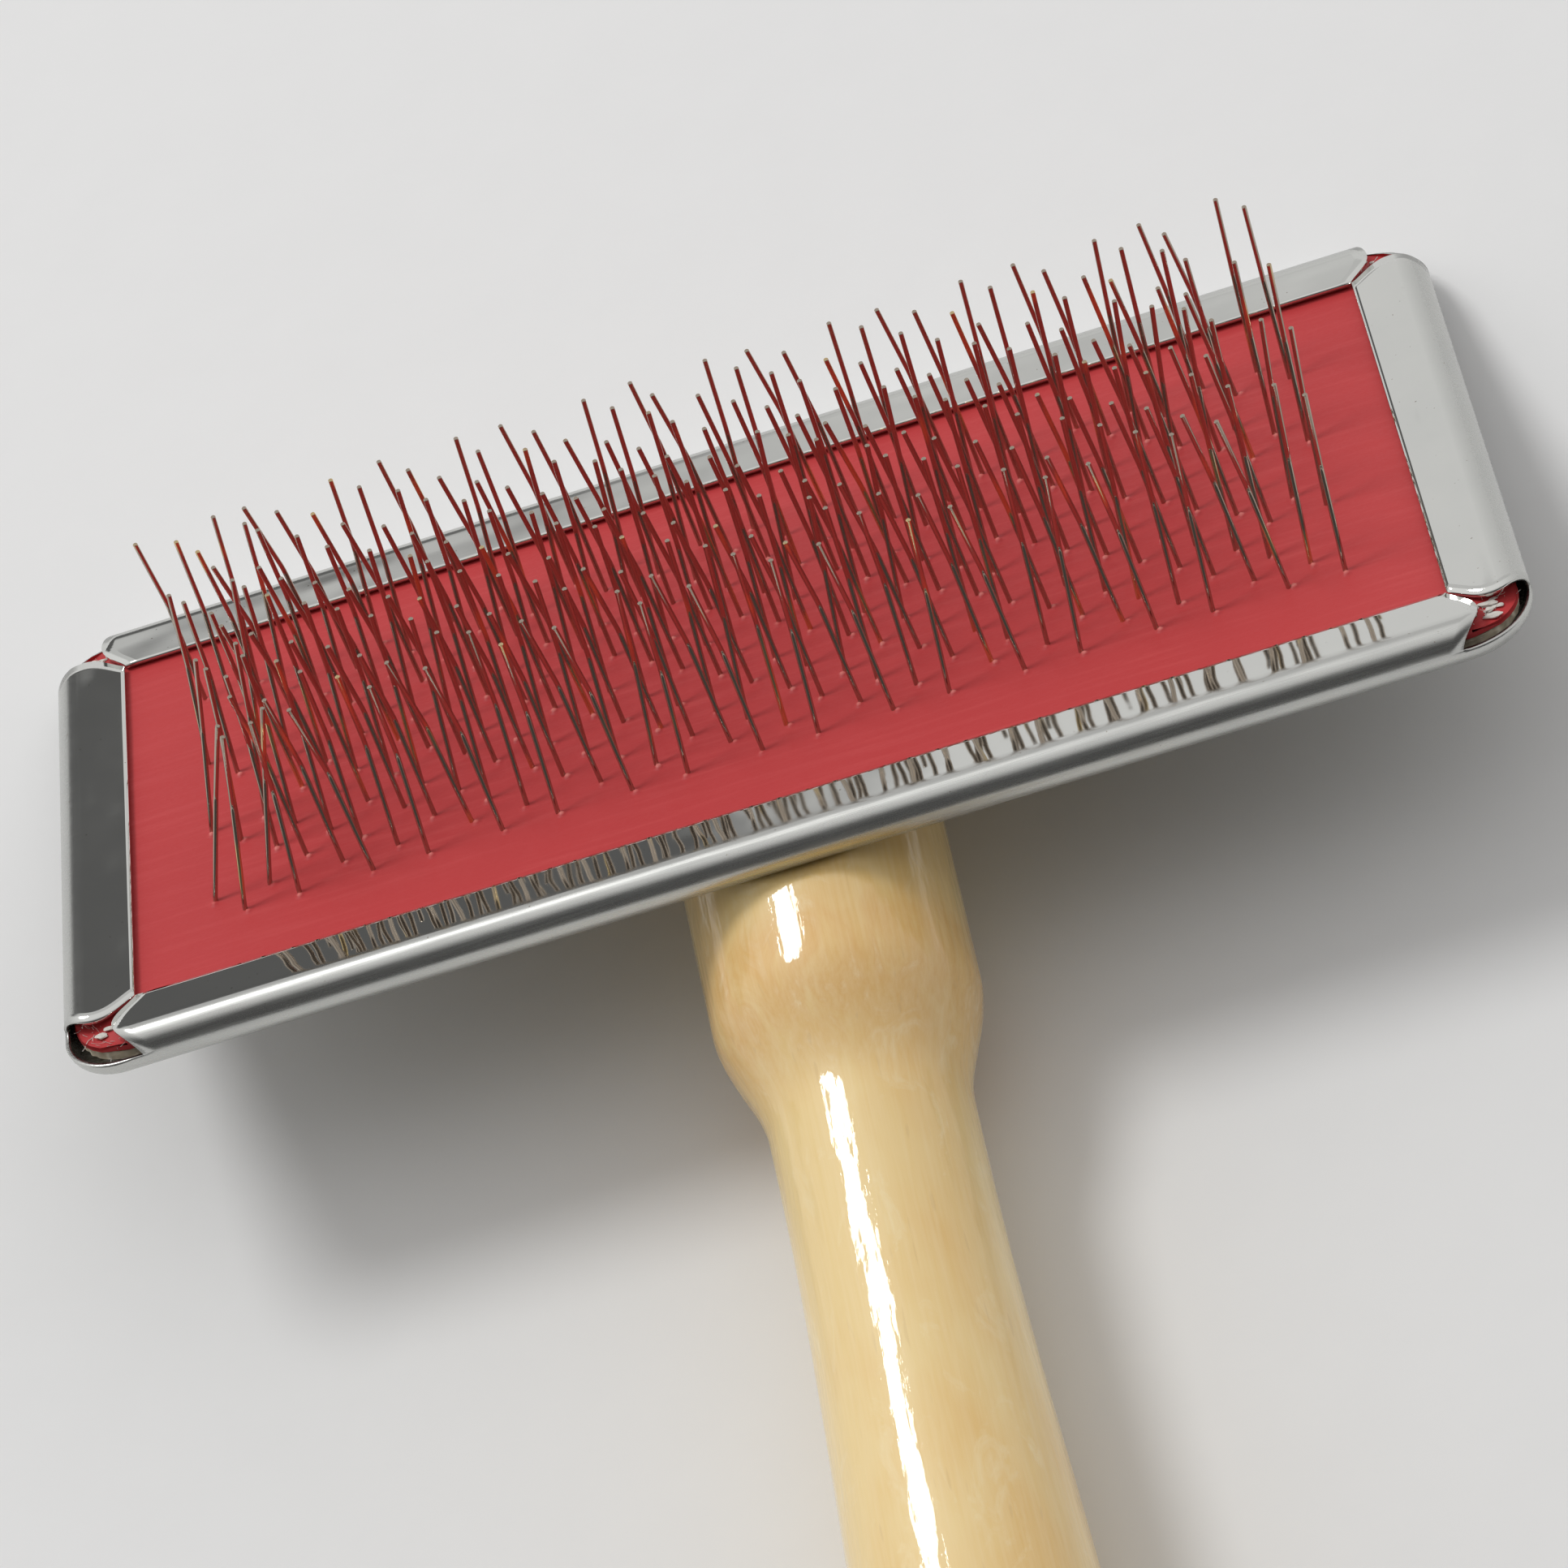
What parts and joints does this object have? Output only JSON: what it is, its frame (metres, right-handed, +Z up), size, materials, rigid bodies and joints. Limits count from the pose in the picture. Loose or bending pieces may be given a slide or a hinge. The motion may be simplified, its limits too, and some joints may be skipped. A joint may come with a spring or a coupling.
{
  "type": "slicker brush",
  "caption": "Grooming brush with a flat steel head of fine bent wire pins set in a red rubber pad, on a turned wooden handle.",
  "frame": {"origin": "under the middle of the brush's bounding box, on the surface that it lies on", "axes": "+Z up as the brush lies on its back with its pins up, +X along the head's long side, +Y from the handle towards the head"},
  "size_m": [0.1118, 0.1414, 0.0316],
  "materials": {
    "plated_steel": "satin nickel plate on sheet steel",
    "spring_wire": "drawn spring-steel wire, semi-bright",
    "red_rubber": "matt red rubber face",
    "foundation_cloth": "woven cotton foundation",
    "white_felt": "pressed wool felt",
    "lacquered_wood": "pale close-grained hardwood, clear gloss lacquer"
  },
  "bodies": {
    "head": {"head_tray": "plated_steel", "pad_face": "red_rubber", "pad_foundation": "foundation_cloth", "pad_cushion": "white_felt", "handle": "lacquered_wood", "tack_front": "spring_wire", "tack_rear": "spring_wire"},
    "pin_row_01": {"pin_row_01": "spring_wire"},
    "pin_row_02": {"pin_row_02": "spring_wire"},
    "pin_row_03": {"pin_row_03": "spring_wire"},
    "pin_row_04": {"pin_row_04": "spring_wire"},
    "pin_row_05": {"pin_row_05": "spring_wire"},
    "pin_row_06": {"pin_row_06": "spring_wire"},
    "pin_row_07": {"pin_row_07": "spring_wire"},
    "pin_row_08": {"pin_row_08": "spring_wire"},
    "pin_row_09": {"pin_row_09": "spring_wire"},
    "pin_row_10": {"pin_row_10": "spring_wire"},
    "pin_row_11": {"pin_row_11": "spring_wire"},
    "pin_row_12": {"pin_row_12": "spring_wire"},
    "pin_row_13": {"pin_row_13": "spring_wire"},
    "pin_row_14": {"pin_row_14": "spring_wire"}
  },
  "joints": [
    {"name": "pin_row_01_flex", "type": "hinge", "parent": "head", "child": "pin_row_01", "pos_m": [0, 0.03226, 0.01738], "axis": [1, 0, 0], "range_deg": [-6, 6], "stiffness_Nm_per_rad": 0.2},
    {"name": "pin_row_02_flex", "type": "hinge", "parent": "head", "child": "pin_row_02", "pos_m": [0, 0.03431, 0.01655], "axis": [1, 0, 0], "range_deg": [-6, 6], "stiffness_Nm_per_rad": 0.2},
    {"name": "pin_row_03_flex", "type": "hinge", "parent": "head", "child": "pin_row_03", "pos_m": [0, 0.03637, 0.01572], "axis": [1, 0, 0], "range_deg": [-6, 6], "stiffness_Nm_per_rad": 0.2},
    {"name": "pin_row_04_flex", "type": "hinge", "parent": "head", "child": "pin_row_04", "pos_m": [0, 0.03842, 0.0149], "axis": [1, 0, 0], "range_deg": [-6, 6], "stiffness_Nm_per_rad": 0.2},
    {"name": "pin_row_05_flex", "type": "hinge", "parent": "head", "child": "pin_row_05", "pos_m": [0, 0.04047, 0.01406], "axis": [1, 0, 0], "range_deg": [-6, 6], "stiffness_Nm_per_rad": 0.2},
    {"name": "pin_row_06_flex", "type": "hinge", "parent": "head", "child": "pin_row_06", "pos_m": [0, 0.04253, 0.01324], "axis": [1, 0, 0], "range_deg": [-6, 6], "stiffness_Nm_per_rad": 0.2},
    {"name": "pin_row_07_flex", "type": "hinge", "parent": "head", "child": "pin_row_07", "pos_m": [0, 0.04458, 0.01241], "axis": [1, 0, 0], "range_deg": [-6, 6], "stiffness_Nm_per_rad": 0.2},
    {"name": "pin_row_08_flex", "type": "hinge", "parent": "head", "child": "pin_row_08", "pos_m": [0, 0.04663, 0.01158], "axis": [1, 0, 0], "range_deg": [-6, 6], "stiffness_Nm_per_rad": 0.2},
    {"name": "pin_row_09_flex", "type": "hinge", "parent": "head", "child": "pin_row_09", "pos_m": [0, 0.04869, 0.01075], "axis": [1, 0, 0], "range_deg": [-6, 6], "stiffness_Nm_per_rad": 0.2},
    {"name": "pin_row_10_flex", "type": "hinge", "parent": "head", "child": "pin_row_10", "pos_m": [0, 0.05074, 0.00992], "axis": [1, 0, 0], "range_deg": [-6, 6], "stiffness_Nm_per_rad": 0.2},
    {"name": "pin_row_11_flex", "type": "hinge", "parent": "head", "child": "pin_row_11", "pos_m": [0, 0.0528, 0.00909], "axis": [1, 0, 0], "range_deg": [-6, 6], "stiffness_Nm_per_rad": 0.2},
    {"name": "pin_row_12_flex", "type": "hinge", "parent": "head", "child": "pin_row_12", "pos_m": [0, 0.05485, 0.00826], "axis": [1, 0, 0], "range_deg": [-6, 6], "stiffness_Nm_per_rad": 0.2},
    {"name": "pin_row_13_flex", "type": "hinge", "parent": "head", "child": "pin_row_13", "pos_m": [0, 0.0569, 0.00743], "axis": [1, 0, 0], "range_deg": [-6, 6], "stiffness_Nm_per_rad": 0.2},
    {"name": "pin_row_14_flex", "type": "hinge", "parent": "head", "child": "pin_row_14", "pos_m": [0, 0.05896, 0.0066], "axis": [1, 0, 0], "range_deg": [-6, 6], "stiffness_Nm_per_rad": 0.2}
  ]
}
